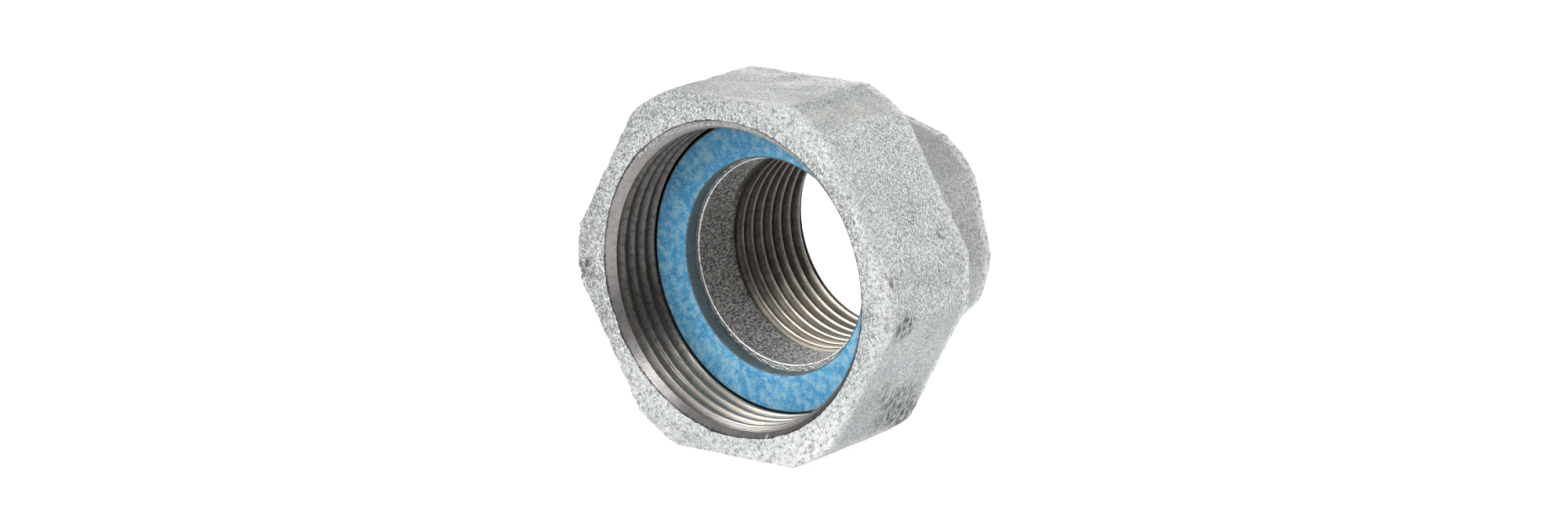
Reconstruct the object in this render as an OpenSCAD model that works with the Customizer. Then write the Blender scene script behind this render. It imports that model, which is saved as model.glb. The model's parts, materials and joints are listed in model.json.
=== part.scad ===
// Swivel half of a flat-seat threaded union for inch-and-a-half nuts and one-inch pipe.
// The loose hexagonal nut turns on the tailpiece and traps its flange, and a flat fibre
// gasket lies on the flange's face. Millimetres. The common axis is +Y, and the nut's
// mouth lies in the plane y = 0 and faces -Y. Pipe threads are given at their crests.

/* [Nut inside] */
// Diameter inside the crests of the nut's thread
nut_crest_d = 44.84; // [38:0.01:52]
// How much larger the mouth of the lead-in is than the crests, on the radius
nut_lead_step = 1.48; // [0.8:0.01:1.7]
// Length of the lead-in
nut_lead_len = 1.4; // [0.8:0.1:2.5]
// Depth of the relief behind the thread, below the crests
nut_relief_step = 1.78; // [1.5:0.01:2.2]
// How far the nut's shoulder reaches in behind the flange
shoulder_reach = 1.85; // [1.2:0.05:3]
// Chamfer on the edges of the hole in the nut's rear wall
nut_hole_chamfer = 0.8; // [0.3:0.1:1.2]

/* [Nut outside] */
// Thickness of the nut's wall between the relief and a flat
nut_wall = 2.5; // [1.6:0.1:5]
// Thickness of the nut's rear wall, which traps the flange
nut_rear_wall = 3.8; // [3:0.1:8]
// How far the nut's sharp corners are taken back
nut_corner_cut = 1.9; // [0.5:0.1:2.5]
// Radius of the cast edge round the nut's front face
nut_front_round = 1; // [0.4:0.1:1.4]
// Radius of the cast edge round the nut's rear face
nut_rear_round = 0.8; // [0.4:0.1:1.4]

/* [Gasket] */
// Depth of the gasket's face below the nut's mouth
gasket_depth = 10.4; // [7:0.1:14]
// Thickness of the gasket
gasket_t = 2; // [1:0.1:3]
// How far the gasket's inner edge stands back from the waterway
gasket_setback = 0.5; // [0.1:0.1:1.5]

/* [Tailpiece outside] */
// Thickness of the flange
flange_t = 4; // [2.5:0.1:6]
// Chamfer on the flange's edges
flange_chamfer = 0.5; // [0.2:0.1:1]
// Fillet between the flange and the neck
neck_fillet = 0.6; // [0.2:0.1:0.7]
// Length of the tailpiece that shows behind the nut
tail_out = 18.6; // [14:0.1:30]
// Thickness of the tailpiece's wall between the pipe thread's lead-in and a flat
tail_wall = 1.6; // [1.2:0.1:2.2]
// Turn of the tailpiece's flats against the nut's
tail_turn = 17; // [0:0.5:59]
// How far the flats reach into the nut's rear hole
flats_inset = 1.6; // [0.5:0.1:2.5]
// Radius at which the flats run out into the neck
flats_run_out = 1.2; // [0.4:0.1:1.4]
// Radius of the tailpiece's rear edge
tail_rear_round = 1.1; // [0.4:0.1:1.2]

/* [Tailpiece inside] */
// Diameter inside the crests of the pipe thread
pipe_crest_d = 30.3; // [27:0.01:32]
// Length of the pipe thread
pipe_thread_len = 16.4; // [10:0.1:18]
// How much larger the mouth of the pipe thread's lead-in is, on the radius
pipe_lead_step = 1.65; // [0.8:0.05:1.8]
// Length of that lead-in
pipe_lead_len = 2.1; // [0.8:0.1:2.5]
// How much larger the cast waterway is where the pipe thread starts, on the radius
cast_bore_step = 0.35; // [0.1:0.05:0.6]
// How much the cast waterway widens from there to the flange's face, on the radius
cast_bore_draft = 0.4; // [0.1:0.05:0.8]

/* [Clearances] */
// Gap between the gasket's rim and the nut's thread crests
gasket_gap = 0.42; // [0.1:0.01:0.8]
// Gap between the flange's rim and the nut's thread crests
flange_gap = 0.32; // [0.1:0.01:0.8]
// Gap between the tailpiece and the hole in the nut's rear wall
hole_gap = 0.5; // [0.2:0.01:0.9]
// Gap between the flange's back and the nut's shoulder
seat_gap = 0.2; // [0.1:0.01:0.5]
// How far the relief starts in front of the gasket's face
relief_lead = 0.2; // [0.1:0.01:1]

/* [Hidden] */
$fn = 96;

sides = 6;
side_turn = 360 / sides;
// The nut lies on one flat, whose normal is a quarter turn from the X axis
flat_turn = 90;
// How far a cutting solid runs past the face that it cuts
over = 1;
// Straight steps in a rounded cast edge
edge_steps = 4;

zinc_colour = [0.72, 0.74, 0.74];
tail_colour = [0.60, 0.61, 0.61];
gasket_colour = [0.30, 0.58, 0.78];

nut_crest_r = nut_crest_d / 2;
nut_lead_r = nut_crest_r + nut_lead_step;
nut_relief_r = nut_crest_r + nut_relief_step;
nut_apothem = nut_relief_r + nut_wall;
nut_corner_r = nut_apothem / cos(side_turn / 2) - nut_corner_cut;

gasket_r = nut_crest_r - gasket_gap;
flange_r = nut_crest_r - flange_gap;
nut_hole_r = flange_r - shoulder_reach;
tail_r = nut_hole_r - hole_gap;

pipe_crest_r = pipe_crest_d / 2;
pipe_lead_r = pipe_crest_r + pipe_lead_step;
tail_apothem = pipe_lead_r + tail_wall;
cast_bore_end_r = pipe_crest_r + cast_bore_step;
cast_bore_r = cast_bore_end_r + cast_bore_draft;
gasket_hole_r = cast_bore_r + gasket_setback;

flange_face = gasket_depth + gasket_t;
flange_back = flange_face + flange_t;
nut_shoulder = flange_back + seat_gap;
nut_len = nut_shoulder + nut_rear_wall;
relief_start = gasket_depth - relief_lead;
flats_start = nut_len - flats_inset;
tail_end = nut_len + tail_out;
pipe_thread_end = tail_end - pipe_lead_len;
pipe_thread_start = pipe_thread_end - pipe_thread_len;

// Points of an arc about a centre, from one angle to another
function arc(x, y, radius, from, to) = [
    for (i = [0 : edge_steps])
        let (angle = from + (to - from) * i / edge_steps)
            [x + radius * cos(angle), y + radius * sin(angle)]
];

// Rounded outer edge at the start of a bar whose surface is at the given radius
function start_edge(radius, start, round_r) =
    arc(radius - round_r, start + round_r, round_r, -90, 0);

// Rounded outer edge at the end of such a bar
function end_edge(radius, end, round_r) =
    arc(radius - round_r, end - round_r, round_r, 0, 90);

// Hollow edge where a larger radius steps down to a smaller one
function hollow_edge(radius, start, round_r) =
    arc(radius + round_r, start + round_r, round_r, -90, -180);

// Turns what is drawn along +Z to lie along +Y
module along_axis() {
    rotate([-90, 0, 0])
        children();
}

// Takes six flats off a round bar. The outline of one cut gives the distance from
// the axis against the height
module cut_six_flats(outline, first_turn, bar_r) {
    difference() {
        children();
        for (i = [0 : sides - 1])
            rotate([0, 0, first_turn + i * side_turn])
                rotate([90, 0, 0])
                    linear_extrude(height = 2 * (bar_r + over), center = true)
                        polygon(outline);
    }
}

// Cast outside of the nut: a round bar of its corner radius with six flats
module nut_hexagon() {
    outer = nut_corner_r + over;
    bar = concat(
        [[0, 0]],
        start_edge(nut_corner_r, 0, nut_front_round),
        end_edge(nut_corner_r, nut_len, nut_rear_round),
        [[0, nut_len]]
    );
    flat = concat(
        [[outer, -over], [nut_apothem - nut_front_round, -over]],
        start_edge(nut_apothem, 0, nut_front_round),
        end_edge(nut_apothem, nut_len, nut_rear_round),
        [[nut_apothem - nut_rear_round, nut_len + over], [outer, nut_len + over]]
    );
    cut_six_flats(flat, flat_turn, nut_corner_r)
        rotate_extrude()
            polygon(bar);
}

// Hollow of the nut: lead-in, thread crests, relief up to the shoulder and rear hole
module nut_hollow() {
    hole_edge_r = nut_hole_r + nut_hole_chamfer;
    rotate_extrude()
        polygon([
            [0, -over],
            [nut_lead_r, -over],
            [nut_lead_r, 0],
            [nut_crest_r, nut_lead_len],
            [nut_crest_r, relief_start],
            [nut_relief_r, relief_start + nut_relief_step],
            [nut_relief_r, nut_shoulder],
            [hole_edge_r, nut_shoulder],
            [nut_hole_r, nut_shoulder + nut_hole_chamfer],
            [nut_hole_r, nut_len - nut_hole_chamfer],
            [hole_edge_r, nut_len],
            [hole_edge_r, nut_len + over],
            [0, nut_len + over]
        ]);
}

module union_nut() {
    color(zinc_colour)
        along_axis()
            difference() {
                nut_hexagon();
                nut_hollow();
            }
}

module gasket() {
    color(gasket_colour)
        along_axis()
            translate([0, 0, gasket_depth])
                difference() {
                    cylinder(r = gasket_r, h = gasket_t);
                    translate([0, 0, -over])
                        cylinder(r = gasket_hole_r, h = gasket_t + 2 * over);
                }
}

// Outside of the tailpiece: flange with chamfered edges, neck with a fillet at its
// root, and a body with six flats that run out into the neck
module tail_outside() {
    outer = tail_r + over;
    bar = concat(
        [
            [0, flange_face],
            [flange_r - flange_chamfer, flange_face],
            [flange_r, flange_face + flange_chamfer],
            [flange_r, flange_back - flange_chamfer],
            [flange_r - flange_chamfer, flange_back]
        ],
        hollow_edge(tail_r, flange_back, neck_fillet),
        end_edge(tail_r, tail_end, tail_rear_round),
        [[0, tail_end]]
    );
    flat = concat(
        [[outer, flats_start]],
        hollow_edge(tail_apothem, flats_start, flats_run_out),
        end_edge(tail_apothem, tail_end, tail_rear_round),
        [[tail_apothem - tail_rear_round, tail_end + over], [outer, tail_end + over]]
    );
    cut_six_flats(flat, flat_turn + tail_turn, tail_r)
        rotate_extrude()
            polygon(bar);
}

// Waterway: cast and slightly tapered, then the pipe thread's crests and its lead-in
module waterway() {
    rotate_extrude()
        polygon([
            [0, flange_face - over],
            [cast_bore_r, flange_face - over],
            [cast_bore_r, flange_face],
            [cast_bore_end_r, pipe_thread_start],
            [pipe_crest_r, pipe_thread_start],
            [pipe_crest_r, pipe_thread_end],
            [pipe_lead_r, tail_end],
            [pipe_lead_r, tail_end + over],
            [0, tail_end + over]
        ]);
}

module tailpiece() {
    color(tail_colour)
        along_axis()
            difference() {
                tail_outside();
                waterway();
            }
}

union_nut();
gasket();
tailpiece();
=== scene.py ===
# Looks of the swivel half of a flat-seat threaded union: a loose union nut, a fibre gasket
# and a flanged tailpiece. Each piece is made along Z, as on a lathe with its face at the
# start of the bar, and is then laid along +Y, the common axis. Blender works in metres.
import json
import math

import bmesh
import bpy
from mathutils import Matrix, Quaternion, Vector


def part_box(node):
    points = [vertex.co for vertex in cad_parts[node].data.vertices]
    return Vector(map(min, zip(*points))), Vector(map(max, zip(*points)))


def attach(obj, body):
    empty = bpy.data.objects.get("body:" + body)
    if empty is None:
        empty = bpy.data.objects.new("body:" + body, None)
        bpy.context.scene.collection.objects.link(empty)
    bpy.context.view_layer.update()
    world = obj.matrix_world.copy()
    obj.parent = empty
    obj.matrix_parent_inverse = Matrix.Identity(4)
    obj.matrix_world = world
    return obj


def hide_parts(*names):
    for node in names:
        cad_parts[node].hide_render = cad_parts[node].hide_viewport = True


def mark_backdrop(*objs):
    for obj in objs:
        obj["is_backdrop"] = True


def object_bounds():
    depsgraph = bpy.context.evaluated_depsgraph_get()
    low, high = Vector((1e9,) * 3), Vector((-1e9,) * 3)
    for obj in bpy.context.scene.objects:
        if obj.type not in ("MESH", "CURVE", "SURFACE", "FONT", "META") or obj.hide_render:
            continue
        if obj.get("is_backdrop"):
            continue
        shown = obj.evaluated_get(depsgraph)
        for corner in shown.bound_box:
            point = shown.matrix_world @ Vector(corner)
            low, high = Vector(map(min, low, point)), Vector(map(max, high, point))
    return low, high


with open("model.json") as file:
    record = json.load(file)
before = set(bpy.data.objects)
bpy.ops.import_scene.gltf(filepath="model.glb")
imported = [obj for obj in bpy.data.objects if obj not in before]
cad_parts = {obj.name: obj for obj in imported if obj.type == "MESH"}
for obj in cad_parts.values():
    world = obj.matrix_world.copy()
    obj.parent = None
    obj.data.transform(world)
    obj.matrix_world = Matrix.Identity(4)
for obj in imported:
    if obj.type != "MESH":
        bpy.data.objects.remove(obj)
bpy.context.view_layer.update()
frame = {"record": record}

bl_info = {
    "name": "Swivel union fitting",
    "version": (1, 0, 0),
    "blender": (4, 5, 0),
    "location": "View3D > Sidebar > Union",
    "description": "Builds a galvanized union nut, its gasket, its tailpiece and a studio",
    "category": "Object",
}


def mm(value):
    """Millimetres as Blender's metres"""
    return value / 1000


def in_mm(value):
    """Blender's metres as millimetres"""
    return value * 1000


def srgb(red, green, blue):
    """A colour as a screen shows it, 0 to 255, as Blender's linear colour"""
    def linear(value):
        value = value / 255
        return value / 12.92 if value <= 0.04045 else ((value + 0.055) / 1.055) ** 2.4
    return (linear(red), linear(green), linear(blue), 1.0)


def mount(name):
    """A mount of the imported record"""
    return next(entry for entry in frame["record"]["mounts"] if entry["name"] == name)


# Sizes that the frame gives
NUT_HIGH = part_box("union_nut")[1]
GASKET_LOW, GASKET_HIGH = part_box("gasket")
TAIL_LOW, TAIL_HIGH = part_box("tailpiece")
NUT_CREST = mm(mount("nut_thread")["dims"]["r_mm"])
PIPE_CREST = mm(mount("pipe_thread")["dims"]["r_mm"])
PIPE_THREAD_LEN = mm(mount("pipe_thread")["dims"]["length_mm"])
NUT_CORNER = NUT_HIGH.x
NUT_APOTHEM = NUT_HIGH.z
NUT_END = NUT_HIGH.y
GASKET_RIM = GASKET_HIGH.x
GASKET_FACE = GASKET_LOW.y
FLANGE_RIM = TAIL_HIGH.x
FLANGE_FACE = TAIL_LOW.y
TAIL_END = TAIL_HIGH.y

# Sizes that the source of the solids gives, repeated here
NUT_LEAD_STEP = mm(1.48)
NUT_LEAD_LEN = mm(1.4)
NUT_RELIEF_STEP = mm(1.78)
NUT_REAR_WALL = mm(3.8)
NUT_HOLE_CHAMFER = mm(0.8)
NUT_HOLE = FLANGE_RIM - mm(1.85)
GASKET_HOLE = mm(16.4)
FLANGE_THICK = mm(4)
FLANGE_CHAMFER = mm(0.5)
TAIL_CORNER = NUT_HOLE - mm(0.5)
TAIL_APOTHEM = mm(18.4)
TAIL_FLATS_START = NUT_END - mm(1.6)
TAIL_TURN = 17.0
PIPE_LEAD_STEP = mm(1.65)
PIPE_LEAD_LEN = mm(2.1)
CAST_BORE = mm(15.9)
CAST_BORE_END = mm(15.5)
PIPE_THREAD_START = TAIL_END - PIPE_LEAD_LEN - PIPE_THREAD_LEN
NUT_SHOULDER = NUT_END - NUT_REAR_WALL
RELIEF_START = GASKET_FACE - mm(0.2)

# Both threads have the same 55 degree form and the same pitch: rounded roots, and crests
# that end in a land with rounded edges
PITCH = mm(25.4 / 11)
NUT_THREAD_DEPTH = mm(1.4)
PIPE_THREAD_DEPTH = mm(0.95)
THREAD_ROUND = 0.137329 * PITCH
THREAD_LEAN = math.radians(62.5)
NUT_LAND_ROUND = mm(0.16)
PIPE_LAND_ROUND = mm(0.45)

# Where dirt has settled in the nut's skin: place in millimetres, reach and share
NUT_SPOTS = [
    ((28.4, 4.6, -4.2), 3.2, 1.0),
    ((19.7, 13.2, -19.3), 6.0, 0.9),
    ((18.0, 19.2, -22.3), 5.5, 0.95),
    ((21.7, 7.4, -15.8), 3.5, 0.5),
    ((26.5, 15.9, 7.4), 1.3, 0.8),
    ((28.6, 1.6, 3.5), 1.6, 0.8),
    ((-28.0, 0.8, -2.0), 3.0, 0.8),
    ((-12.0, 4.0, 26.7), 5.0, 0.4),
]

# How the real castings and the loose pieces differ from their nominal sizes and places.
# LEFT and UP are shares of the shift, sag or play in the settings, towards -X and +Z
NUT_STRETCH = (0.995, 1.008, 1)
NUT_FLATS_OUT = mm(0.14)
NUT_SHIFT_LEFT = 0.8
NUT_SHIFT_UP = 0.25
TAIL_FLATS_IN = mm(0.1)
TAIL_CORNERS_IN = mm(0.5)
TAIL_BODY_DROP = mm(0.2)
TAIL_SAG_LEFT = 0.75
GASKET_PLAY_LEFT = 0.5
SWELL_LENGTH = mm(3.6)
RIPPLE_LENGTH = mm(0.95)
GASKET_WAVE_LENGTH = mm(6)
GASKET_WAVE = mm(0.08)

# Blanks and tools. Stock is metal that is left on for a tool to take off, and a lap is how
# far the neck's bar and the hexagon's bar reach into each other
NUT_TAP_STOCK = mm(0.8)
PIPE_TAP_STOCK = mm(0.6)
FLANGE_STOCK = mm(0.5)
FACE_STOCK = mm(1.3)
NECK_LAP = mm(0.4)
FLATS_LAP = mm(0.6)
CORE_STEP = mm(1)
NECK_CLEAR = mm(0.04)
TOOL_REACH = mm(1.6)
TAP_FRONT = mm(2)
TAP_NOSE_FRONT = mm(0.9)
TAP_NOSE_BACK = mm(3)
TAP_NOSE_OUT = mm(0.1)
TAP_BODY_OUT = mm(0.6)
LEAD_IN_NOSE = mm(0.4)

# Ring of burr round the front edge of the cast bore
BURR_RING = CAST_BORE - mm(0.06)
BURR_ROUND = mm(0.26)
BURR_BACK = mm(0.18)
BURR_RAGGED = mm(0.16)
BURR_WAVE_LENGTH = mm(0.8)

# Each lamp's name, azimuth and elevation in degrees, distance and side in metres, and power.
# The last one stands close behind the fitting, lights the waterway and isn't seen itself
LAMPS = [
    ("key_light", 30, 50, 1.1, 0.42, 4.7),
    ("left_light", -42, 24, 1.1, 0.34, 5.4),
    ("mouth_light", -20, 18, 1.1, 0.34, 1.0),
    ("side_light", 114, 38, 1.1, 0.45, 5.7),
    ("top_light", 150, 78, 1.2, 0.5, 3.3),
    ("waterway_light", 203, 8, 0.074, 0.048, 0.05),
]
# Floor and backdrop, in metres
FLOOR_SIZE = 6
BACKDROP_SIZE = 2.6
BACKDROP_BACK = 1.3
BACKDROP_MIDDLE = 1.2

# Both hexagons, and the turn of the nut's top flat from +X in degrees
SIDES = 6
SIDE_TURN = 360 / SIDES
FLAT_TURN = 90.0
# Straight steps in a turned circle
TURN_STEPS = 144
# How far a cutting shape runs past the face that it cuts
OVER = mm(1.5)

# Edges flatter than the first are shaded smooth, and those sharper than the other are
# rounded on the gasket
SMOOTH_ANGLE = math.radians(38)
PUNCHED_ANGLE = math.radians(50)

# Numbers of a piece's finishes
SKIN, CUT, BORE, BURR = range(4)

# How far off its nominal surface, in millimetres, a face may lie and still belong to it
CONE_SLACK = 0.04
BORE_SLACK = 0.05
FLANGE_BACK_SLACK = 0.01
FLANGE_FACE_SLACK = 0.1
CAST_SLACK = 0.13

# Colours of marks and stains, and of painted glints, highlights and shade
LOW_SIDE_SHADE = srgb(136, 145, 150)
TOP_SHADE_ZINC = srgb(132, 134, 134)
PEEL_HOLLOW_SHADE = srgb(98, 98, 94)
PAINTED_GLINT = srgb(242, 244, 243)
ZINC_DIRT = srgb(66, 64, 62)
NUT_STAIN = srgb(156, 151, 146)
TAIL_STAIN = srgb(136, 129, 119)
UPPER_LEFT_SHADE = srgb(44, 40, 37)
CUT_SOIL = srgb(50, 45, 41)
CREST_HIGHLIGHT = srgb(212, 203, 188)
ROOT_SHADE = srgb(36, 33, 30)
MOUTH_LINE = srgb(40, 37, 35)
CUT_HOLES = srgb(46, 38, 32)
DULL_BURR = srgb(176, 176, 175)
BRIGHT_BURR = srgb(240, 240, 238)
BORE_SHADE = srgb(62, 62, 61)
BORE_FLECKS = srgb(214, 214, 210)
DEEP_BLUE = srgb(38, 128, 184)
PALE_SPECKS = srgb(196, 226, 230)
GREEN_MIST = srgb(150, 206, 196)
CUT_FIBRES = srgb(120, 138, 140)


# Sizes and colours that a user would change

def length_setting(name, text, default):
    """A length property, given in metres"""
    return bpy.props.FloatProperty(
        name=name, description=text, default=default, precision=5,
        subtype="DISTANCE", unit="LENGTH")


def angle_setting(name, text, default):
    """An angle property, given in degrees"""
    return bpy.props.FloatProperty(
        name=name, description=text, default=math.radians(default),
        subtype="ANGLE", unit="ROTATION")


def colour_setting(name, text, default):
    """A colour property"""
    return bpy.props.FloatVectorProperty(
        name=name, description=text, default=default[:3], size=3,
        min=0.0, max=1.0, subtype="COLOR")


class UnionNutSettings(bpy.types.PropertyGroup):
    """Sizes and colours of the union nut"""
    grain: length_setting("Grain", "Mesh spacing of the cast skin", mm(0.42))
    swell: length_setting("Swell", "Height of the cast skin's broad waves", mm(0.34))
    ripple: length_setting("Ripple", "Height of the cast skin's short waves", mm(0.12))
    shift: length_setting("Mould shift", "How far the cast outside lies off the bore", mm(0.38))
    thread_start: length_setting("Thread start", "Depth of a groove at the +X side", mm(0.95))
    light: colour_setting("Light zinc", "Bright parts of the zinc", srgb(194, 197, 195))
    grey: colour_setting("Grey zinc", "Dull parts of the zinc", srgb(134, 138, 138))
    warm: colour_setting("Warm zinc", "Weathered corners of the zinc", srgb(170, 172, 166))
    steel: colour_setting("Cut metal", "Lead-in and thread", srgb(142, 139, 138))


class GasketSettings(bpy.types.PropertyGroup):
    """Sizes and colours of the gasket"""
    play: length_setting("Play", "How far the gasket has dropped off the axis", mm(0.22))
    swelling: length_setting("Swelling", "How much the sheet has spread at its rim", mm(0.26))
    edge: length_setting("Edge", "Softness of the punched edges", mm(0.14))
    blue: colour_setting("Blue", "Colour of the fibre sheet", srgb(58, 156, 210))
    pale: colour_setting("Pale fibre", "Colour of the fibres that show", srgb(182, 222, 226))
    side: colour_setting("Cut side", "Colour of the punched sides", srgb(78, 96, 100))


class TailpieceSettings(bpy.types.PropertyGroup):
    """Sizes and colours of the tailpiece"""
    grain: length_setting("Grain", "Mesh spacing of the cast skin", mm(0.36))
    swell: length_setting("Swell", "Height of the cast skin's broad waves", mm(0.24))
    ripple: length_setting("Ripple", "Height of the cast skin's short waves", mm(0.1))
    thread_start: length_setting("Thread start", "Depth of a groove at the +X side", mm(1.45))
    sag: length_setting("Sag", "How far the loose tailpiece has dropped off the axis", mm(0.28))
    light: colour_setting("Light zinc", "Bright parts of the zinc", srgb(170, 172, 170))
    grey: colour_setting("Grey zinc", "Dull parts of the zinc", srgb(134, 137, 135))
    steel: colour_setting("Cut metal", "Flange face and pipe thread", srgb(166, 159, 149))
    rough: colour_setting("Cast bore", "Dark cast skin inside the bore", srgb(130, 130, 128))


class StudioSettings(bpy.types.PropertyGroup):
    """Place of the camera and strength of the lights"""
    azimuth: angle_setting("Azimuth", "Camera's angle round the fitting", 37.755)
    elevation: angle_setting("Elevation", "Camera's angle above the floor", 14.834)
    roll: angle_setting("Roll", "Tilt of the camera, clockwise", 1.102)
    distance: length_setting("Distance", "From the camera to the point that it aims at", mm(717))
    aim: bpy.props.FloatVectorProperty(
        name="Aim", description="Point that the camera aims at",
        default=(mm(5.98), mm(5.08), mm(2.47)), size=3, subtype="XYZ", unit="LENGTH")
    lens: bpy.props.FloatProperty(
        name="Lens", description="Focal length on a 36 mm sensor", default=112.845, min=1.0)
    room: bpy.props.FloatProperty(
        name="Room light", description="Strength of the even light", default=0.33, min=0.0)


# Modelling by hand

def pick(obj):
    """Leaves one object selected and active, in object mode"""
    if bpy.context.object is not None and bpy.context.object.mode != "OBJECT":
        bpy.ops.object.mode_set(mode="OBJECT")
    bpy.ops.object.select_all(action="DESELECT")
    obj.select_set(True)
    bpy.context.view_layer.objects.active = obj


def edit(obj):
    """Opens an object in edit mode with all of its mesh selected"""
    pick(obj)
    bpy.ops.object.mode_set(mode="EDIT")
    bpy.ops.mesh.select_mode(type="VERT")
    bpy.ops.mesh.select_all(action="SELECT")


def choose(obj, wanted, kind="verts"):
    """Selects, in edit mode, only the vertices, edges or faces that a test accepts"""
    shape = bmesh.from_edit_mesh(obj.data)
    for face in shape.faces:
        face.select = False
    for edge in shape.edges:
        edge.select = False
    for vert in shape.verts:
        vert.select = False
    for item in getattr(shape, kind):
        if wanted(item):
            item.select_set(True)
    if kind == "verts":
        shape.select_flush(True)
    bmesh.update_edit_mesh(obj.data)


def close_edit():
    """Merges doubles, turns the faces outward and leaves edit mode"""
    bpy.ops.mesh.select_all(action="SELECT")
    bpy.ops.mesh.remove_doubles(threshold=mm(0.001))
    bpy.ops.mesh.normals_make_consistent(inside=False)
    bpy.ops.object.mode_set(mode="OBJECT")


def modify(obj, kind, **settings):
    """Adds a modifier, sets it and applies it"""
    pick(obj)
    modifier = obj.modifiers.new(kind.lower(), kind)
    for name, value in settings.items():
        setattr(modifier, name, value)
    bpy.ops.object.modifier_apply(modifier=modifier.name)


def turned(name, outline):
    """A closed turned solid about the Z axis, from (radius, height) points"""
    (first_r, low), (second_r, high) = outline[:2]
    bpy.ops.object.select_all(action="DESELECT")
    bpy.ops.mesh.primitive_cone_add(
        vertices=TURN_STEPS, radius1=first_r, radius2=second_r, depth=high - low,
        location=(0, 0, (low + high) / 2))
    obj = bpy.context.object
    obj.name = name
    bpy.ops.object.transform_apply(location=True, rotation=False, scale=False)
    edit(obj)
    choose(obj, lambda vert: vert.co.z > high - mm(0.001))
    for (radius, height), (next_radius, next_height) in zip(outline[1:], outline[2:]):
        bpy.ops.mesh.extrude_region_move(
            TRANSFORM_OT_translate={"value": (0, 0, next_height - height)})
        grow = next_radius / radius
        bpy.ops.transform.resize(value=(grow, grow, 1), center_override=(0, 0, 0))
    close_edit()
    return obj


def thread_turn(crest_r, depth, land_round):
    """(radius, height) points of one turn, from the middle of a crest to the next"""
    bottom = crest_r + depth
    flank = (depth - (THREAD_ROUND + land_round) * (1 - math.cos(THREAD_LEAN))
             ) / math.tan(THREAD_LEAN)
    half = PITCH / 2 - flank - THREAD_ROUND * math.sin(THREAD_LEAN)
    land = half - land_round * math.sin(THREAD_LEAN)
    rise = []
    for share in (0, 0.5, 1):
        angle = THREAD_LEAN * share
        rise.append((crest_r + land_round * (1 - math.cos(angle)),
                     land + land_round * math.sin(angle)))
    points = [(crest_r, 0)] + rise
    for share in (-1, -0.5, 0, 0.5, 1):
        angle = THREAD_LEAN * share
        points.append((bottom - THREAD_ROUND * (1 - math.cos(angle)),
                       PITCH / 2 + THREAD_ROUND * math.sin(angle)))
    points += [(radius, PITCH - height) for radius, height in reversed(rise)]
    return points


def tap(name, crest_r, depth, land_round, groove, low, high):
    """A closed solid of a right-handed internal thread. One groove crosses the +X side at
    the height groove, and the solid reaches at least from low to high"""
    start = groove - PITCH / 2
    start -= PITCH * (math.ceil((start - low) / PITCH) + 1)
    turns = math.ceil((high - start) / PITCH)
    chain = [(0, start)]
    for turn in range(turns):
        chain += [(radius, start + turn * PITCH + height)
                  for radius, height in thread_turn(crest_r, depth, land_round)]
    chain += [(crest_r, start + turns * PITCH), (0, start + turns * PITCH)]

    bpy.ops.object.select_all(action="DESELECT")
    bpy.ops.mesh.primitive_plane_add(size=mm(1), location=(0, 0, start))
    obj = bpy.context.object
    obj.name = name
    bpy.ops.object.transform_apply(location=True, rotation=False, scale=False)
    edit(obj)
    bpy.ops.mesh.merge(type="CENTER")
    for (radius, height), (next_radius, next_height) in zip(chain, chain[1:]):
        step = (next_radius - radius, 0, next_height - height)
        bpy.ops.mesh.extrude_region_move(TRANSFORM_OT_translate={"value": step})
    bpy.ops.object.mode_set(mode="OBJECT")
    modify(obj, "SCREW", axis="Z", angle=math.tau, screw_offset=PITCH, iterations=1,
           steps=TURN_STEPS, render_steps=TURN_STEPS)
    edit(obj)
    bpy.ops.mesh.remove_doubles(threshold=mm(0.002))
    bpy.ops.mesh.select_all(action="DESELECT")
    bpy.ops.mesh.select_non_manifold()
    bpy.ops.mesh.fill_holes(sides=0)
    close_edit()
    return obj


def cut_flats(obj, apothem, first_turn):
    """Saws six flats along the Z axis"""
    edit(obj)
    for side in range(SIDES):
        angle = math.radians(first_turn + side * SIDE_TURN)
        outward = Vector((math.cos(angle), math.sin(angle), 0))
        bpy.ops.mesh.select_all(action="SELECT")
        bpy.ops.mesh.bisect(
            plane_co=outward * apothem, plane_no=outward, use_fill=True, clear_outer=True)
    close_edit()


def cut(obj, tool):
    """Cuts a tool's shape out of an object, and removes the tool"""
    modify(obj, "BOOLEAN", operation="DIFFERENCE", solver="MANIFOLD", object=tool)
    bpy.data.objects.remove(tool)


def join(obj, other):
    """Joins another object's shape to an object, and removes the other"""
    modify(obj, "BOOLEAN", operation="UNION", solver="MANIFOLD", object=other)
    bpy.data.objects.remove(other)


def keep_inside(obj, tool):
    """Keeps what lies inside the tool's shape, and removes the tool"""
    modify(obj, "BOOLEAN", operation="INTERSECT", solver="MANIFOLD", object=tool)
    bpy.data.objects.remove(tool)


def clouds(name, size, depth):
    """A soft noise that moves a cast skin in and out"""
    texture = bpy.data.textures.new(name, "CLOUDS")
    texture.noise_scale = size
    texture.noise_depth = depth
    texture.noise_basis = "IMPROVED_PERLIN"
    return texture


def cast_skin(obj, grain, rounding, swell, ripple):
    """Turns a sharp blank into a casting: even mesh, softened edges and an uneven skin"""
    modify(obj, "REMESH", mode="VOXEL", voxel_size=grain, adaptivity=0.0)
    modify(obj, "SMOOTH", factor=0.5, iterations=rounding)
    modify(obj, "DISPLACE", texture=clouds(obj.name + "_swell", SWELL_LENGTH, 1),
           texture_coords="LOCAL", mid_level=0.5, strength=swell)
    modify(obj, "DISPLACE", texture=clouds(obj.name + "_ripple", RIPPLE_LENGTH, 1),
           texture_coords="LOCAL", mid_level=0.5, strength=ripple)


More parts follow.
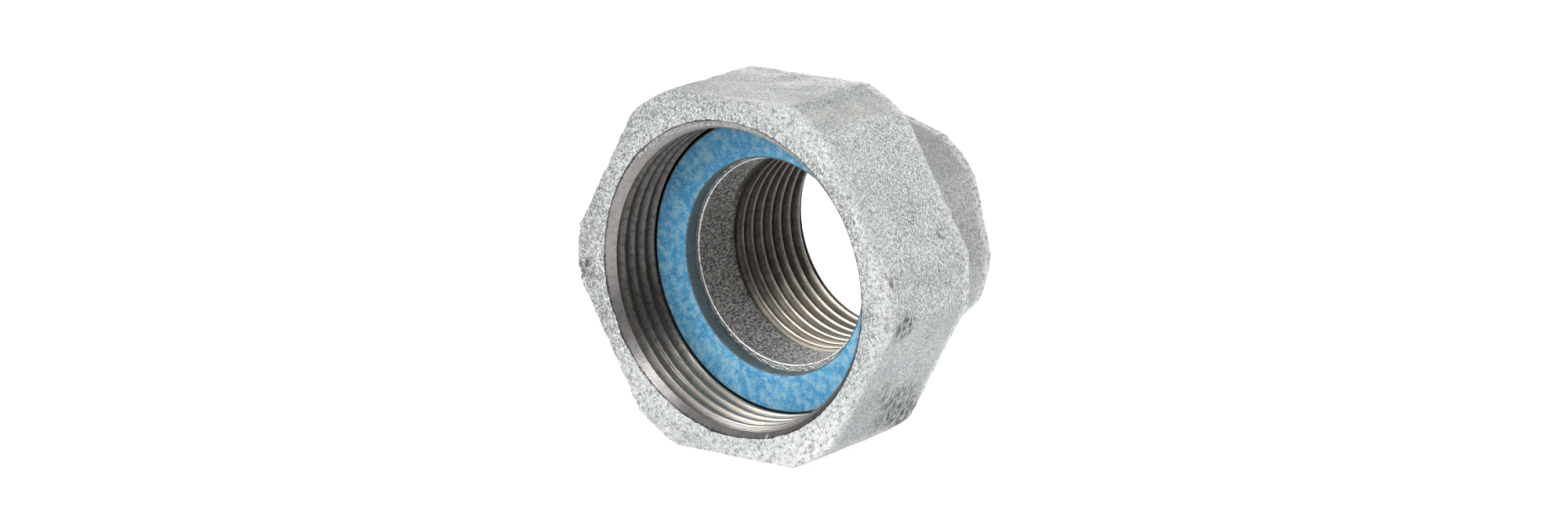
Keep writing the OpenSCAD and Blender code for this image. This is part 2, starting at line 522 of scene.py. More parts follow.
def check_closed(obj):
    """Raises an error if an object's mesh isn't closed"""
    shape = bmesh.new()
    shape.from_mesh(obj.data)
    open_edges = sum(1 for edge in shape.edges if not edge.is_manifold)
    count = len(shape.faces)
    shape.free()
    if open_edges or not count:
        raise RuntimeError(f"{obj.name} has {open_edges} open edges and {count} faces")


def lay_along_axis(obj):
    """Turns what was made along +Z to lie along +Y, and settles its place in its mesh"""
    pick(obj)
    obj.rotation_euler = (-math.pi / 2, 0, 0)
    bpy.ops.object.transform_apply(location=True, rotation=True, scale=True)


def paint(obj, finishes, which, axis):
    """Gives an object its finishes. The test returns the number of a face's finish from
    its distance to the piece's own axis and its depth along it, both in millimetres"""
    obj.data.materials.clear()
    for finish in finishes:
        obj.data.materials.append(finish)
    for face in obj.data.polygons:
        centre = in_mm(face.center)
        radius = math.hypot(centre.x - axis[0], centre.z - axis[1])
        face.material_index = which(radius, centre.y)
    pick(obj)
    bpy.ops.object.shade_smooth_by_angle(angle=SMOOTH_ANGLE)


# Shaders written as sums

class Wire:
    """A socket of a shader. Ordinary arithmetic on it adds Math nodes"""

    def __init__(self, tree, socket=None):
        self.tree = tree
        self.socket = socket

    def node(self, kind, settings=None, inputs=None, output=0):
        """Adds a node, sets it, feeds its sockets and returns one of its outputs"""
        made = self.tree.nodes.new(kind)
        for name, value in (settings or {}).items():
            setattr(made, name, value)
        for key, value in (inputs or {}).items():
            if isinstance(value, Wire):
                self.tree.links.new(value.socket, made.inputs[key])
            else:
                made.inputs[key].default_value = value
        return Wire(self.tree, made.outputs[output])

    def math(self, operation, *values):
        """Adds a Math node on the given values"""
        return self.node("ShaderNodeMath", {"operation": operation}, dict(enumerate(values)))

    def __add__(self, other):
        return self.math("ADD", self, other)

    def __radd__(self, other):
        return self.math("ADD", other, self)

    def __sub__(self, other):
        return self.math("SUBTRACT", self, other)

    def __rsub__(self, other):
        return self.math("SUBTRACT", other, self)

    def __mul__(self, other):
        return self.math("MULTIPLY", self, other)

    def __rmul__(self, other):
        return self.math("MULTIPLY", other, self)

    def __truediv__(self, other):
        return self.math("DIVIDE", self, other)

    def __rtruediv__(self, other):
        return self.math("DIVIDE", other, self)


def rises(value, low, high):
    """0 below low, 1 above high and a smooth rise between"""
    return value.node("ShaderNodeMapRange", {"interpolation_type": "SMOOTHSTEP"},
                      {"Value": value, "From Min": low, "From Max": high})


def falls(value, low, high):
    """1 below low, 0 above high and a smooth fall between"""
    return 1 - rises(value, low, high)


def mixed(share, first, second):
    """A colour between two, by a share"""
    return share.node("ShaderNodeMix", {"data_type": "RGBA"},
                      {0: share, 6: first, 7: second}, output=2)


def noise(place, scale, detail, rough):
    """Noise with so many lumps to the millimetre"""
    return place.node("ShaderNodeTexNoise", None,
                      {"Vector": place, "Scale": scale, "Detail": detail, "Roughness": rough})


def stretched(place, turn, scale):
    """A place turned and then squeezed, so that a pattern on it is drawn out"""
    return place.node("ShaderNodeMapping", None,
                      {"Vector": place, "Rotation": turn, "Scale": scale})


class Finish:
    """A material with the places that its patterns read, in millimetres. The radius is
    counted from the piece's own axis, given as its X and Z"""

    def __init__(self, name, axis=(0.0, 0.0)):
        self.material = bpy.data.materials.new(name)
        self.material.use_nodes = True
        tree = self.material.node_tree
        tree.nodes.clear()
        self.start = Wire(tree)
        coordinates = self.start.node("ShaderNodeTexCoord", output="Object")
        self.place = self.start.node("ShaderNodeVectorMath", {"operation": "SCALE"},
                                     {0: coordinates, "Scale": in_mm(1.0)})
        self.x, self.depth, self.z = (
            self.start.node("ShaderNodeSeparateXYZ", None, {0: self.place}, output=letter)
            for letter in "XYZ")
        across = self.x - axis[0]
        upward = self.z - axis[1]
        square = across * across + upward * upward
        self.radius = square.math("SQRT", square)

    def flat(self, turn, reach):
        """1 on the flat whose normal is at this angle from +X towards +Z, in degrees"""
        angle = math.radians(turn)
        distance = self.x * math.cos(angle) + self.z * math.sin(angle)
        return rises(distance, reach - 0.9, reach - 0.35)

    def close(self, colour, rough, metal, height, bump):
        """Ends the material in a shader, with a bump of so many millimetres"""
        normal = self.start.node("ShaderNodeBump", None,
                                 {"Height": height, "Strength": 1.0, "Distance": mm(bump)})
        shader = self.start.node("ShaderNodeBsdfPrincipled", None, {
            "Base Color": colour, "Roughness": rough, "Metallic": metal, "Normal": normal})
        out = self.material.node_tree.nodes.new("ShaderNodeOutputMaterial")
        self.material.node_tree.links.new(shader.socket, out.inputs["Surface"])
        return self.material


def full(value):
    """A colour property's value with its fourth number"""
    return (*value, 1.0)


def zinc(name, light, grey, warm, glint_strength, top_shade_and_dull, side_glints, apothem, first_flat, end,
         spots):
    """Hot-dip zinc on cast iron: orange peel full of bright flecks, which are painted glints,
    and small dark pits. The glint strength sets how strong the painted glints are. The first
    flat, whose normal is at so many degrees from +X to +Z, has more of them, the next one up
    is duller and darker with painted shade, and the one below is smooth and bluish with
    painted shade. A spot is a place in millimetres, its reach and the share of dirt in it"""
    finish = Finish(name)
    place = finish.place
    drawn = stretched(place, (0.4, 0.3, 0.6), (1.0, 1.4, 0.8))
    cells = drawn.node("ShaderNodeTexVoronoi", {"feature": "SMOOTH_F1"},
                       {"Vector": drawn, "Scale": 3.2, "Smoothness": 0.6}, output="Distance")
    peel = noise(drawn, 2.7, 2.0, 0.55)
    grain = noise(place, 5.5, 2.0, 0.6)
    broad = noise(place, 0.22, 3.0, 0.55)
    pit = noise(place, 1.15, 3.0, 0.7)
    fold = noise(drawn, 2.3, 3.0, 0.6) - 0.5
    crease = falls(fold.math("ABSOLUTE", fold), 0.005, 0.045)
    upward = finish.x * 0.5 + finish.z * 0.87
    outward = finish.x * 0.87 - finish.z * 0.5
    streak = noise(finish.start.node("ShaderNodeCombineXYZ", None, {
        0: upward * 0.5, 1: finish.depth * 1.6, 2: outward}), 1.2, 3.0, 0.65)

    top = finish.flat(first_flat + SIDE_TURN, apothem)
    rough_side = finish.flat(first_flat, apothem)
    low_side = finish.flat(first_flat - SIDE_TURN, apothem)
    front_face = falls(finish.depth, 0.3, 0.9)
    outside = rises(finish.radius, apothem - 1.6, apothem - 0.4)
    ridge = (falls(finish.depth, 0.9, 2.2) * outside
             + rises(finish.depth, end - 2.2, end - 0.8) * outside)
    near_ridge = ridge * rises(finish.x, -10.0, 12.0)
    flats = top + rough_side + low_side + front_face
    corner = (1 - flats.math("MINIMUM", flats, 1.0)) * rises(finish.z, 0.0, 14.0)
    smooth = (top * 0.75 + low_side * 0.6 + corner * 0.6) * (1 - ridge * 0.8)

    relief = (1 - cells) * 0.45 + peel * 0.55 + grain * 0.22
    level = relief - 0.60
    # Raised parts of the peel are lighter and its hollows darker: painted light and shade
    tone = mixed(rises(level, -0.10, 0.12), full(grey), full(light))
    tone = mixed(corner * 0.7, tone, full(warm))
    tone = mixed(rises(broad, 0.42, 0.60) * 0.45, tone, full(grey))
    # The flat below the first one is bluish and darker: painted shade
    tone = mixed(low_side * 0.5, tone, LOW_SIDE_SHADE)
    # The top flat is darker: painted shade
    tone = mixed(top * top_shade_and_dull, tone, TOP_SHADE_ZINC)
    # Hollows of the peel are darker, more so on the front face: painted shade
    tone = mixed(falls(peel, 0.36, 0.48) * (0.25 + front_face * 0.5), tone, PEEL_HOLLOW_SHADE)
    # White flecks are painted glints, more on the low front, the first flat and the ridges
    flecks = crease * rises(grain, 0.38, 0.54) * 1.2 + rises(level, 0.07, 0.14) * 0.45
    low_front = front_face * falls(finish.z, -20.0, -10.0)
    flecks = flecks + low_front * rises(pit, 0.38, 0.56) * 0.5
    flecks = flecks * (1 - smooth * 0.75) * (1 + rough_side * side_glints) * glint_strength
    flecks = flecks + near_ridge * rises(pit, 0.38, 0.58) * 0.5
    tone = mixed(flecks.math("MINIMUM", flecks, 1.0), tone, PAINTED_GLINT)
    specks = rises(noise(place, 2.4, 2.0, 0.6), 0.66, 0.72)
    dirt = rises(pit + (broad - 0.5) * 0.4, 0.66, 0.72) * 0.6 + specks * 0.6
    for spot, reach, share in spots:
        distance = place.node("ShaderNodeVectorMath", {"operation": "DISTANCE"},
                              {0: place, 1: spot}, output="Value")
        near = falls(distance, reach * 0.4, reach)
        pitted = rises(streak * 0.8 + grain * 0.2, 0.51 - 0.05 * share, 0.55)
        dirt = dirt + near * pitted * share
    dirt = dirt.math("MINIMUM", dirt, 1.0)
    tone = mixed(dirt * 0.9, tone, ZINC_DIRT)
    rough = 0.36 + 0.16 * broad + dirt * 0.2 + top * top_shade_and_dull * 0.5
    height = (relief + crease * 0.15) * (1 - smooth * 0.62 + ridge * 0.6) - dirt * 0.2
    return finish.close(tone, rough, 0.65, height, 0.24)


def cut_metal(name, steel, stain, dull, low, high, crest, root, mouth, axis=(0.0, 0.0)):
    """Machined iron: fine turning lines round the bore, with painted shade in the roots of its
    thread and on its upper left, painted highlights on the crests, and a ragged dark line at
    the mouth. The thread runs from the crest's radius to the root's, and the clean turned
    metal in front of it ends between the depths low and high. Dull is the least roughness"""
    finish = Finish(name, axis)
    rings = finish.start.node("ShaderNodeCombineXYZ", None,
                              {0: finish.radius * 2.0, 1: finish.depth * 7.0,
                               2: (finish.x + finish.z) * 0.05})
    lines = noise(rings, 1.0, 3.0, 0.65)
    smear = noise(finish.place, 0.35, 3.0, 0.6)
    grit = noise(finish.place, 3.2, 2.0, 0.55)
    soil = noise(finish.place, 1.1, 3.0, 0.7)
    deep = rises(finish.depth, low, high)
    # The upper left of the thread gets painted shade
    side = (finish.z - finish.x * 0.8) / finish.radius
    shaded_side = rises(side + (smear - 0.5) * 0.8, -0.75, 0.35) * deep
    tone = mixed(deep * 0.6 + rises(lines, 0.35, 0.75) * (0.12 + deep * 0.13), full(steel), stain)
    tone = mixed(shaded_side * 0.74, tone, UPPER_LEFT_SHADE)
    # Mottled soil, stronger where the upper left has painted shade
    tone = mixed(rises(soil, 0.44, 0.64) * (0.2 + shaded_side * 0.4), tone, CUT_SOIL)
    reach = root - crest
    # Painted highlights on the crests, weaker where the upper left has painted shade
    crest_highlight = falls(finish.radius + (smear - 0.5) * 0.2, crest + 0.05, crest + reach * 0.6) * deep
    tone = mixed(crest_highlight * (0.6 - 0.58 * shaded_side), tone, CREST_HIGHLIGHT)
    # Painted shade in the roots of the thread
    groove = rises(finish.radius + (grit - 0.5) * 0.2, crest + reach * 0.2, crest + reach)
    tone = mixed(groove * deep * 0.85, tone, ROOT_SHADE)
    ragged = rises(finish.radius + (grit - 0.5) * 0.5, mouth - 0.24, mouth - 0.08)
    tone = mixed(ragged * 0.8, tone, MOUTH_LINE)
    holes = rises(grit + (smear - 0.5) * 0.3, 0.71, 0.76) * (0.3 + deep * 0.7)
    tone = mixed(holes * 0.85, tone, CUT_HOLES)
    rough = dull + 0.18 * smear + holes * 0.3 + groove * deep * 0.2
    metal = 0.9 - groove * deep * 0.6
    height = lines * (0.3 + deep * 0.5) + grit * 0.3 - holes
    return finish.close(tone, rough, metal, height, 0.05)


def bright_burr(name):
    """Bare silver metal of the burr round the bore's edge"""
    finish = Finish(name)
    grain = noise(finish.place, 3.0, 2.0, 0.6)
    tone = mixed(rises(grain, 0.3, 0.6), DULL_BURR, BRIGHT_BURR)
    return finish.close(tone, 0.25 + 0.2 * grain, 0.9, grain, 0.2)


def cast_bore(name, dark):
    """Rough dark cast skin inside the tailpiece, full of small bright grains"""
    finish = Finish(name)
    grain = noise(stretched(finish.place, (0.5, 0, 0.4), (1, 0.6, 1)), 3.0, 3.0, 0.65)
    fine = noise(finish.place, 5.2, 2.0, 0.6)
    smear = noise(finish.place, 0.4, 2.0, 0.5)
    tone = mixed(rises(grain, 0.36, 0.60), BORE_SHADE, full(dark))
    flecks = rises(fine * 0.55 + grain * 0.45, 0.50, 0.58)
    tone = mixed(flecks * 0.65, tone, BORE_FLECKS)
    rough = 0.46 + 0.2 * smear
    return finish.close(tone, rough, 0.6, grain + fine * 0.5, 0.42)


def fibre(name, blue, pale, side, rim_r, hole_r, axis):
    """Blue fibre sheet, mottled with clouds and pale fibres, darker on its cut sides"""
    finish = Finish(name, axis)
    place = finish.place
    cloud = noise(place, 0.8, 5.0, 0.68)
    mist = noise(place, 0.17, 2.0, 0.5)
    speck = noise(place, 3.0, 3.0, 0.7)
    one_way = noise(stretched(place, (0, 0.8, 0), (0.6, 1, 2.4)), 2.2, 3.0, 0.65)
    other_way = noise(stretched(place, (0, -0.5, 0), (2.4, 1, 0.7)), 2.5, 3.0, 0.65)
    fibres = rises(one_way.math("MAXIMUM", one_way, other_way * 0.95), 0.48, 0.74)
    tone = mixed(rises(cloud, 0.40, 0.66) * 0.52, full(blue), full(pale))
    tone = mixed(fibres * (0.40 + 0.35 * rises(speck, 0.40, 0.65)), tone, full(pale))
    tone = mixed(falls(cloud + (mist - 0.5) * 0.6, 0.34, 0.54) * 0.3, tone, DEEP_BLUE)
    tone = mixed(rises(speck, 0.52, 0.68) * 0.3, tone, PALE_SPECKS)
    tone = mixed(rises(mist * 0.6 + cloud * 0.4, 0.56, 0.68) * 0.3, tone, GREEN_MIST)
    inner = falls(finish.radius, hole_r + 0.12, hole_r + 0.35)
    outer = rises(finish.radius, rim_r - 0.35, rim_r - 0.15)
    cut_side = mixed(rises(speck, 0.42, 0.62) * 0.4, full(side), CUT_FIBRES)
    tone = mixed(inner.math("MAXIMUM", inner, outer), tone, cut_side)
    height = fibres * 0.3 + speck
    return finish.close(tone, 0.62 + 0.12 * cloud, 0.0, height, 0.05)


def white_ground(name):
    """A surface that shows white, and keeps the shadow of what stands on it"""
    material = bpy.data.materials.new(name)
    material.use_nodes = True
    tree = material.node_tree
    tree.nodes.clear()
    start = Wire(tree)
    plain = start.node("ShaderNodeBsdfDiffuse", None, {"Color": (0.8, 0.8, 0.8, 1)})
    shaded = start.node("ShaderNodeBsdfDiffuse", None, {"Color": (0.5, 0.5, 0.5, 1)})
    glow = start.node("ShaderNodeEmission", None, {"Color": (1, 1, 1, 1), "Strength": 0.84})
    white = start.node("ShaderNodeAddShader", None, {0: shaded, 1: glow})
    surface = start.node("ShaderNodeMixShader", None, {0: seen_rays(start), 1: plain, 2: white})
    out = tree.nodes.new("ShaderNodeOutputMaterial")
    tree.links.new(surface.socket, out.inputs["Surface"])
    return material


def seen_rays(start):
    """1 for a ray from the camera, from a glossy face or through glass"""
    total = start.node("ShaderNodeLightPath", output="Is Camera Ray")
    for kind in ("Is Glossy Ray", "Is Transmission Ray"):
        total = total + start.node("ShaderNodeLightPath", output=kind)
    return total.math("MINIMUM", total, 1.0)


# The pieces and the studio

class UNION_OT_union_nut(bpy.types.Operator):
    """Makes the union nut"""
    bl_idname = "union.union_nut"
    bl_label = "Union nut"

    def execute(self, context):
        size = context.scene.union_nut
        lead_r = NUT_CREST + NUT_LEAD_STEP
        relief_r = NUT_CREST + NUT_RELIEF_STEP
        slope = NUT_LEAD_STEP / NUT_LEAD_LEN
        inside_r = NUT_CREST - NUT_TAP_STOCK

        nut = turned("nut", [(NUT_CORNER, 0), (NUT_CORNER, NUT_END)])
        cut_flats(nut, NUT_APOTHEM + NUT_FLATS_OUT, FLAT_TURN)
        pick(nut)
        nut.scale = NUT_STRETCH
        nut.location = (-size.shift * NUT_SHIFT_LEFT, -size.shift * NUT_SHIFT_UP, 0)
        bpy.ops.object.transform_apply(location=True, rotation=False, scale=True)
        cast_skin(nut, size.grain, rounding=3, swell=size.swell, ripple=size.ripple)

        edge_r = NUT_HOLE + NUT_HOLE_CHAMFER
        cut(nut, turned("nut_hollow", [
            (lead_r + slope * OVER, -OVER),
            (inside_r, (lead_r - inside_r) / slope),
            (inside_r, RELIEF_START - (NUT_CREST - inside_r)),
            (relief_r, RELIEF_START + NUT_RELIEF_STEP),
            (relief_r, NUT_SHOULDER),
            (edge_r, NUT_SHOULDER),
            (NUT_HOLE, NUT_SHOULDER + NUT_HOLE_CHAMFER),
            (NUT_HOLE, NUT_END - NUT_HOLE_CHAMFER),
            (edge_r + OVER, NUT_END + OVER),
        ]))
        cut(nut, tap("nut_tap", NUT_CREST, NUT_THREAD_DEPTH, NUT_LAND_ROUND, size.thread_start,
                     -PITCH, RELIEF_START + NUT_RELIEF_STEP))
        check_closed(nut)
        lay_along_axis(nut)

        shell = zinc("nut_zinc_skin", size.light, size.grey, size.warm, glint_strength=0.95,
                     top_shade_and_dull=0.14, side_glints=0.6, apothem=in_mm(NUT_APOTHEM),
                     first_flat=FLAT_TURN - SIDE_TURN, end=in_mm(NUT_END), spots=NUT_SPOTS)
        inside = cut_metal("nut_cut_metal", size.steel, NUT_STAIN, dull=0.24,
                           low=1.3, high=3.0, crest=in_mm(NUT_CREST),
                           root=in_mm(NUT_CREST + NUT_THREAD_DEPTH), mouth=in_mm(lead_r))
        mouth = in_mm(lead_r)
        rear = in_mm(edge_r)
        end = in_mm(NUT_END)

        def which(radius, depth):
            """Cut metal in the hollow, and zinc outside it"""
            if depth < in_mm(NUT_LEAD_LEN):
                return CUT if radius < mouth - slope * depth + CONE_SLACK else SKIN
            if depth > end - in_mm(NUT_HOLE_CHAMFER):
                return CUT if radius < rear - (end - depth) + CONE_SLACK else SKIN
            return CUT if radius < in_mm(relief_r) + BORE_SLACK else SKIN

        paint(nut, [shell, inside], which, (0.0, 0.0))
        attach(nut, "nut")
        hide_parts("union_nut")
        return {"FINISHED"}


class UNION_OT_gasket(bpy.types.Operator):
    """Makes the gasket"""
    bl_idname = "union.gasket"
    bl_label = "Gasket"

    def execute(self, context):
        size = context.scene.union_gasket
        rings = 5
        rim = GASKET_RIM + size.swelling
        thick = FLANGE_FACE - GASKET_FACE
        bpy.ops.object.select_all(action="DESELECT")
        bpy.ops.mesh.primitive_cylinder_add(
            vertices=TURN_STEPS, radius=rim, depth=thick,
            location=(-size.play * GASKET_PLAY_LEFT, size.play, GASKET_FACE + thick / 2))
        axis = (in_mm(-size.play * GASKET_PLAY_LEFT), in_mm(-size.play))
        gasket = bpy.context.object
        gasket.name = "fibre_gasket"
        bpy.ops.object.transform_apply(location=True, rotation=False, scale=False)
        edit(gasket)
        bpy.ops.mesh.select_mode(type="FACE")
        choose(gasket, lambda face: abs(face.normal.z) > 0.9, "faces")
        for _ in range(rings):
            bpy.ops.mesh.inset(thickness=(rim - GASKET_HOLE) / rings)
        bpy.ops.mesh.bridge_edge_loops()
        close_edit()
        modify(gasket, "BEVEL", width=size.edge, segments=3, limit_method="ANGLE",
               angle_limit=PUNCHED_ANGLE, use_clamp_overlap=True)
        modify(gasket, "DISPLACE", texture=clouds("gasket_wave", GASKET_WAVE_LENGTH, 0),
               texture_coords="LOCAL", mid_level=0.5, strength=GASKET_WAVE)
        check_closed(gasket)
        lay_along_axis(gasket)
        finish = fibre("gasket_fibre_sheet", size.blue, size.pale, size.side,
                       in_mm(rim), in_mm(GASKET_HOLE), axis)
        paint(gasket, [finish], lambda radius, depth: 0, axis)
        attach(gasket, "tail")
        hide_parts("gasket")
        return {"FINISHED"}


class UNION_OT_tailpiece(bpy.types.Operator):
    """Makes the tailpiece"""
    bl_idname = "union.tailpiece"
    bl_label = "Tailpiece"

    def execute(self, context):
        size = context.scene.union_tailpiece
        flange_back = FLANGE_FACE + FLANGE_THICK
        turned_neck = TAIL_CORNER + NECK_CLEAR
        tool_r = FLANGE_RIM * 1.5
        slope = PIPE_LEAD_STEP / PIPE_LEAD_LEN
        draft = (CAST_BORE - CAST_BORE_END) / (PIPE_THREAD_START - FLANGE_FACE)
        core_r = PIPE_CREST - PIPE_TAP_STOCK

        corner = TAIL_CORNER - TAIL_CORNERS_IN
        tail = turned("tail", [(corner, TAIL_FLATS_START - FLATS_LAP), (corner, TAIL_END)])
        cut_flats(tail, TAIL_APOTHEM - TAIL_FLATS_IN, FLAT_TURN + TAIL_TURN)
        pick(tail)
        tail.location = (0, TAIL_BODY_DROP, 0)
        bpy.ops.object.transform_apply(location=True, rotation=False, scale=False)
        join(tail, turned("tail_blank", [
            (FLANGE_RIM + FLANGE_STOCK, FLANGE_FACE - FACE_STOCK),
            (FLANGE_RIM + FLANGE_STOCK, flange_back + FLANGE_STOCK),
            (TAIL_CORNER, flange_back + FLANGE_STOCK),
            (TAIL_CORNER, TAIL_FLATS_START + NECK_LAP),
        ]))
        cut(tail, turned("tail_core", [
            (CAST_BORE + draft * OVER, FLANGE_FACE - OVER),
            (CAST_BORE_END, PIPE_THREAD_START),
            (core_r, PIPE_THREAD_START + CORE_STEP),
            (core_r, TAIL_END + OVER),
        ]))
        cast_skin(tail, size.grain, rounding=4, swell=size.swell, ripple=size.ripple)

        cut(tail, turned("flange_turning", [
            (tool_r, FLANGE_FACE - OVER * 2),
            (tool_r, flange_back + TOOL_REACH),
            (turned_neck, flange_back + TOOL_REACH),
            (turned_neck, flange_back),
            (FLANGE_RIM - FLANGE_CHAMFER, flange_back),
            (FLANGE_RIM, flange_back - FLANGE_CHAMFER),
            (FLANGE_RIM, FLANGE_FACE + FLANGE_CHAMFER),
            (FLANGE_RIM - FLANGE_CHAMFER, FLANGE_FACE),
        ]))
        bpy.ops.object.select_all(action="DESELECT")
        bpy.ops.mesh.primitive_torus_add(
            major_segments=TURN_STEPS * 2, minor_segments=8, major_radius=BURR_RING,
            minor_radius=BURR_ROUND, location=(0, 0, FLANGE_FACE + BURR_BACK))
        ring = bpy.context.object
        ring.name = "tail_burr_ring"
        bpy.ops.object.transform_apply(location=True, rotation=False, scale=False)
        modify(ring, "DISPLACE", texture=clouds("burr_ragged", BURR_WAVE_LENGTH, 2),
               texture_coords="LOCAL", mid_level=0.5, strength=BURR_RAGGED)
        join(tail, ring)
        thread = tap("pipe_tap", PIPE_CREST, PIPE_THREAD_DEPTH, PIPE_LAND_ROUND, size.thread_start,
                     PIPE_THREAD_START - TAP_FRONT, TAIL_END + OVER)
        tap_r = PIPE_CREST + PIPE_THREAD_DEPTH + TAP_BODY_OUT
        keep_inside(thread, turned("tap_nose", [
            (PIPE_CREST + TAP_NOSE_OUT, PIPE_THREAD_START - TAP_NOSE_FRONT),
            (tap_r, PIPE_THREAD_START + TAP_NOSE_BACK),
            (tap_r, TAIL_END + OVER),
        ]))
        cut(tail, thread)
        cut(tail, turned("pipe_lead_in", [
            (core_r - LEAD_IN_NOSE,
             TAIL_END - PIPE_LEAD_LEN - (PIPE_CREST - core_r + LEAD_IN_NOSE) / slope),
            (PIPE_CREST + PIPE_LEAD_STEP + slope * OVER, TAIL_END + OVER),
        ]))
        check_closed(tail)
        pick(tail)
        tail.location = (-size.sag * TAIL_SAG_LEFT, size.sag, 0)
        axis = (in_mm(-size.sag * TAIL_SAG_LEFT), in_mm(-size.sag))
        lay_along_axis(tail)

        skin = zinc("tail_zinc_skin", size.light, size.grey, size.grey, glint_strength=0.55,
                    top_shade_and_dull=0.6, side_glints=0.0, apothem=in_mm(TAIL_APOTHEM),
                    first_flat=FLAT_TURN - SIDE_TURN - TAIL_TURN, end=in_mm(TAIL_END),
                    spots=[])
        inside = cut_metal("tail_cut_metal", size.steel, TAIL_STAIN, dull=0.42,
                           low=11.0, high=15.0, crest=in_mm(PIPE_CREST),
                           root=in_mm(PIPE_CREST + PIPE_THREAD_DEPTH),
                           mouth=in_mm(FLANGE_RIM), axis=axis)
        bore = cast_bore("tail_cast_bore", size.rough)
        burr = bright_burr("tail_burr")
        face = in_mm(FLANGE_FACE)
        start = in_mm(PIPE_THREAD_START)
        end = in_mm(TAIL_END)
        root_r = in_mm(PIPE_CREST + PIPE_THREAD_DEPTH)
        mouth_r = in_mm(PIPE_CREST + PIPE_LEAD_STEP)
        rim_start = end - 1
        outside_r = in_mm(TAIL_APOTHEM) - 0.6
        burr_end = face + 0.32
        bore_end = start + 0.6

        def which(radius, depth):
            """Zinc outside, cut metal on the flange and the thread, cast bore and burr"""
            lead_r = max(root_r, mouth_r - slope * (end - depth))
            at_rim = depth > rim_start and radius > lead_r + BORE_SLACK
            if at_rim or radius > outside_r:
                return CUT if depth < in_mm(flange_back) + FLANGE_BACK_SLACK else SKIN
            off_bore = radius > in_mm(CAST_BORE) + FLANGE_FACE_SLACK
            if off_bore and depth < face + FLANGE_FACE_SLACK:
                return CUT
            if depth < burr_end:
                return BURR
            if depth < start - in_mm(TAP_NOSE_FRONT):
                return BORE
            cast_r = in_mm(CAST_BORE) - draft * (depth - face)
            cast_r -= max(0, depth - start) * (CAST_BORE_END - core_r) / CORE_STEP
            return BORE if depth < bore_end and radius < cast_r + CAST_SLACK else CUT

        paint(tail, [skin, inside, bore, burr], which, axis)
        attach(tail, "tail")
        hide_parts("tailpiece")
        return {"FINISHED"}


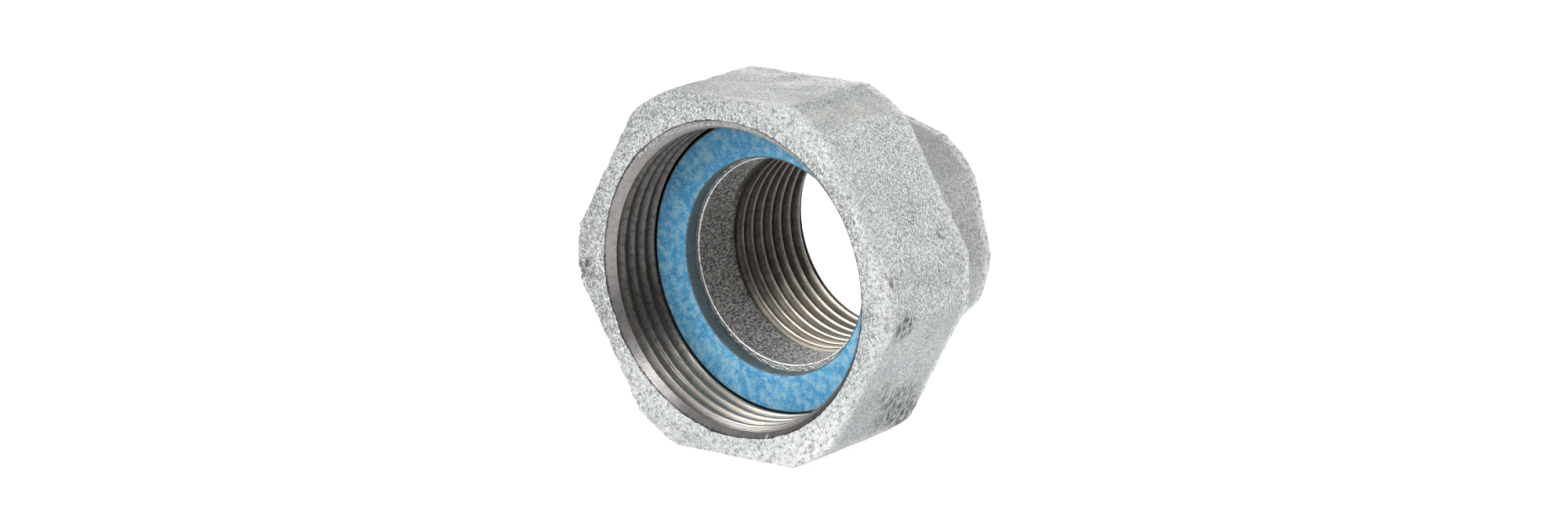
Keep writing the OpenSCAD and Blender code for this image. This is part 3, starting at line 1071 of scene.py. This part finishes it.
class UNION_OT_studio(bpy.types.Operator):
    """Makes the floor, the lights, the world and the camera"""
    bl_idname = "union.studio"
    bl_label = "Studio"

    def stand(self, obj, point, around, above, distance):
        """Stands an object off a point and turns it to face that point. The angles, one
        round the fitting from its front and one above the floor, are in radians"""
        outward = Vector((math.sin(around) * math.cos(above),
                          -math.cos(around) * math.cos(above), math.sin(above)))
        bpy.context.scene.collection.objects.link(obj)
        obj.location = point + outward * distance
        obj.rotation_mode = "QUATERNION"
        obj.rotation_quaternion = (-outward).to_track_quat("-Z", "Y")

    def lamp(self, name, azimuth, elevation, distance, size, power):
        """A square soft light that faces the fitting"""
        data = bpy.data.lights.new(name, "AREA")
        data.shape = "SQUARE"
        data.size = size
        data.energy = power
        self.stand(bpy.data.objects.new(name, data), Vector((0, NUT_END / 2, 0)),
                   math.radians(azimuth), math.radians(elevation), distance)

    def execute(self, context):
        size = context.scene.union_studio
        ground_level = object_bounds()[0].z
        bpy.ops.object.select_all(action="DESELECT")
        bpy.ops.mesh.primitive_plane_add(size=FLOOR_SIZE, location=(0, 0, ground_level))
        floor = bpy.context.object
        floor.name = "floor"
        ground = white_ground("studio_white")
        floor.data.materials.append(ground)
        bpy.ops.object.select_all(action="DESELECT")
        bpy.ops.mesh.primitive_plane_add(
            size=BACKDROP_SIZE, rotation=(math.pi / 2, 0, size.azimuth),
            location=(-BACKDROP_BACK * math.sin(size.azimuth),
                      BACKDROP_BACK * math.cos(size.azimuth), BACKDROP_MIDDLE))
        backdrop = bpy.context.object
        backdrop.name = "backdrop"
        backdrop.data.materials.append(ground)
        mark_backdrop(floor, backdrop)

        for lamp in LAMPS:
            self.lamp(*lamp)
        bpy.data.objects["waterway_light"].visible_camera = False

        world = bpy.data.worlds.new("studio_world")
        context.scene.world = world
        world.use_nodes = True
        tree = world.node_tree
        tree.nodes.clear()
        start = Wire(tree)
        shade = (size.room, size.room, size.room, 1)
        camera_ray = start.node("ShaderNodeLightPath", output="Is Camera Ray")
        tone = mixed(camera_ray, shade, (1, 1, 1, 1))
        sky = start.node("ShaderNodeBackground", None, {"Color": tone, "Strength": 1.0})
        out = tree.nodes.new("ShaderNodeOutputWorld")
        tree.links.new(sky.socket, out.inputs["Surface"])

        data = bpy.data.cameras.new("camera")
        data.sensor_width = 36
        data.lens = size.lens
        data.clip_start = 0.01
        data.clip_end = 50
        camera = bpy.data.objects.new("camera", data)
        self.stand(camera, Vector(size.aim), size.azimuth, size.elevation, size.distance)
        camera.rotation_quaternion = camera.rotation_quaternion @ Quaternion(
            (0, 0, 1), -size.roll)
        context.scene.camera = camera
        context.scene.view_settings.view_transform = "Standard"
        return {"FINISHED"}


class UNION_PT_panel(bpy.types.Panel):
    """Buttons and values of the fitting"""
    bl_idname = "UNION_PT_panel"
    bl_label = "Union fitting"
    bl_space_type = "VIEW_3D"
    bl_region_type = "UI"
    bl_category = "Union"

    def draw(self, context):
        for group, operator in GROUPS:
            box = self.layout.box()
            box.operator(operator)
            settings = getattr(context.scene, group)
            for name in settings.bl_rna.properties.keys():
                if name not in ("rna_type", "name"):
                    box.prop(settings, name)


GROUPS = [
    ("union_nut", "union.union_nut"),
    ("union_gasket", "union.gasket"),
    ("union_tailpiece", "union.tailpiece"),
    ("union_studio", "union.studio"),
]
CLASSES = [
    UnionNutSettings, GasketSettings, TailpieceSettings, StudioSettings,
    UNION_OT_union_nut, UNION_OT_gasket, UNION_OT_tailpiece, UNION_OT_studio, UNION_PT_panel,
]


def register():
    """Registers the classes and puts their settings on the scene"""
    for kind in CLASSES:
        bpy.utils.register_class(kind)
    scene_type = bpy.types.Scene
    scene_type.union_nut = bpy.props.PointerProperty(type=UnionNutSettings)
    scene_type.union_gasket = bpy.props.PointerProperty(type=GasketSettings)
    scene_type.union_tailpiece = bpy.props.PointerProperty(type=TailpieceSettings)
    scene_type.union_studio = bpy.props.PointerProperty(type=StudioSettings)


def unregister():
    """Takes the settings and the classes away again"""
    for group, _ in GROUPS:
        delattr(bpy.types.Scene, group)
    for kind in reversed(CLASSES):
        bpy.utils.unregister_class(kind)


def main():
    """Builds all the pieces and the studio"""
    register()
    bpy.ops.union.union_nut()
    bpy.ops.union.gasket()
    bpy.ops.union.tailpiece()
    bpy.ops.union.studio()


if __name__ == "__main__":
    main()
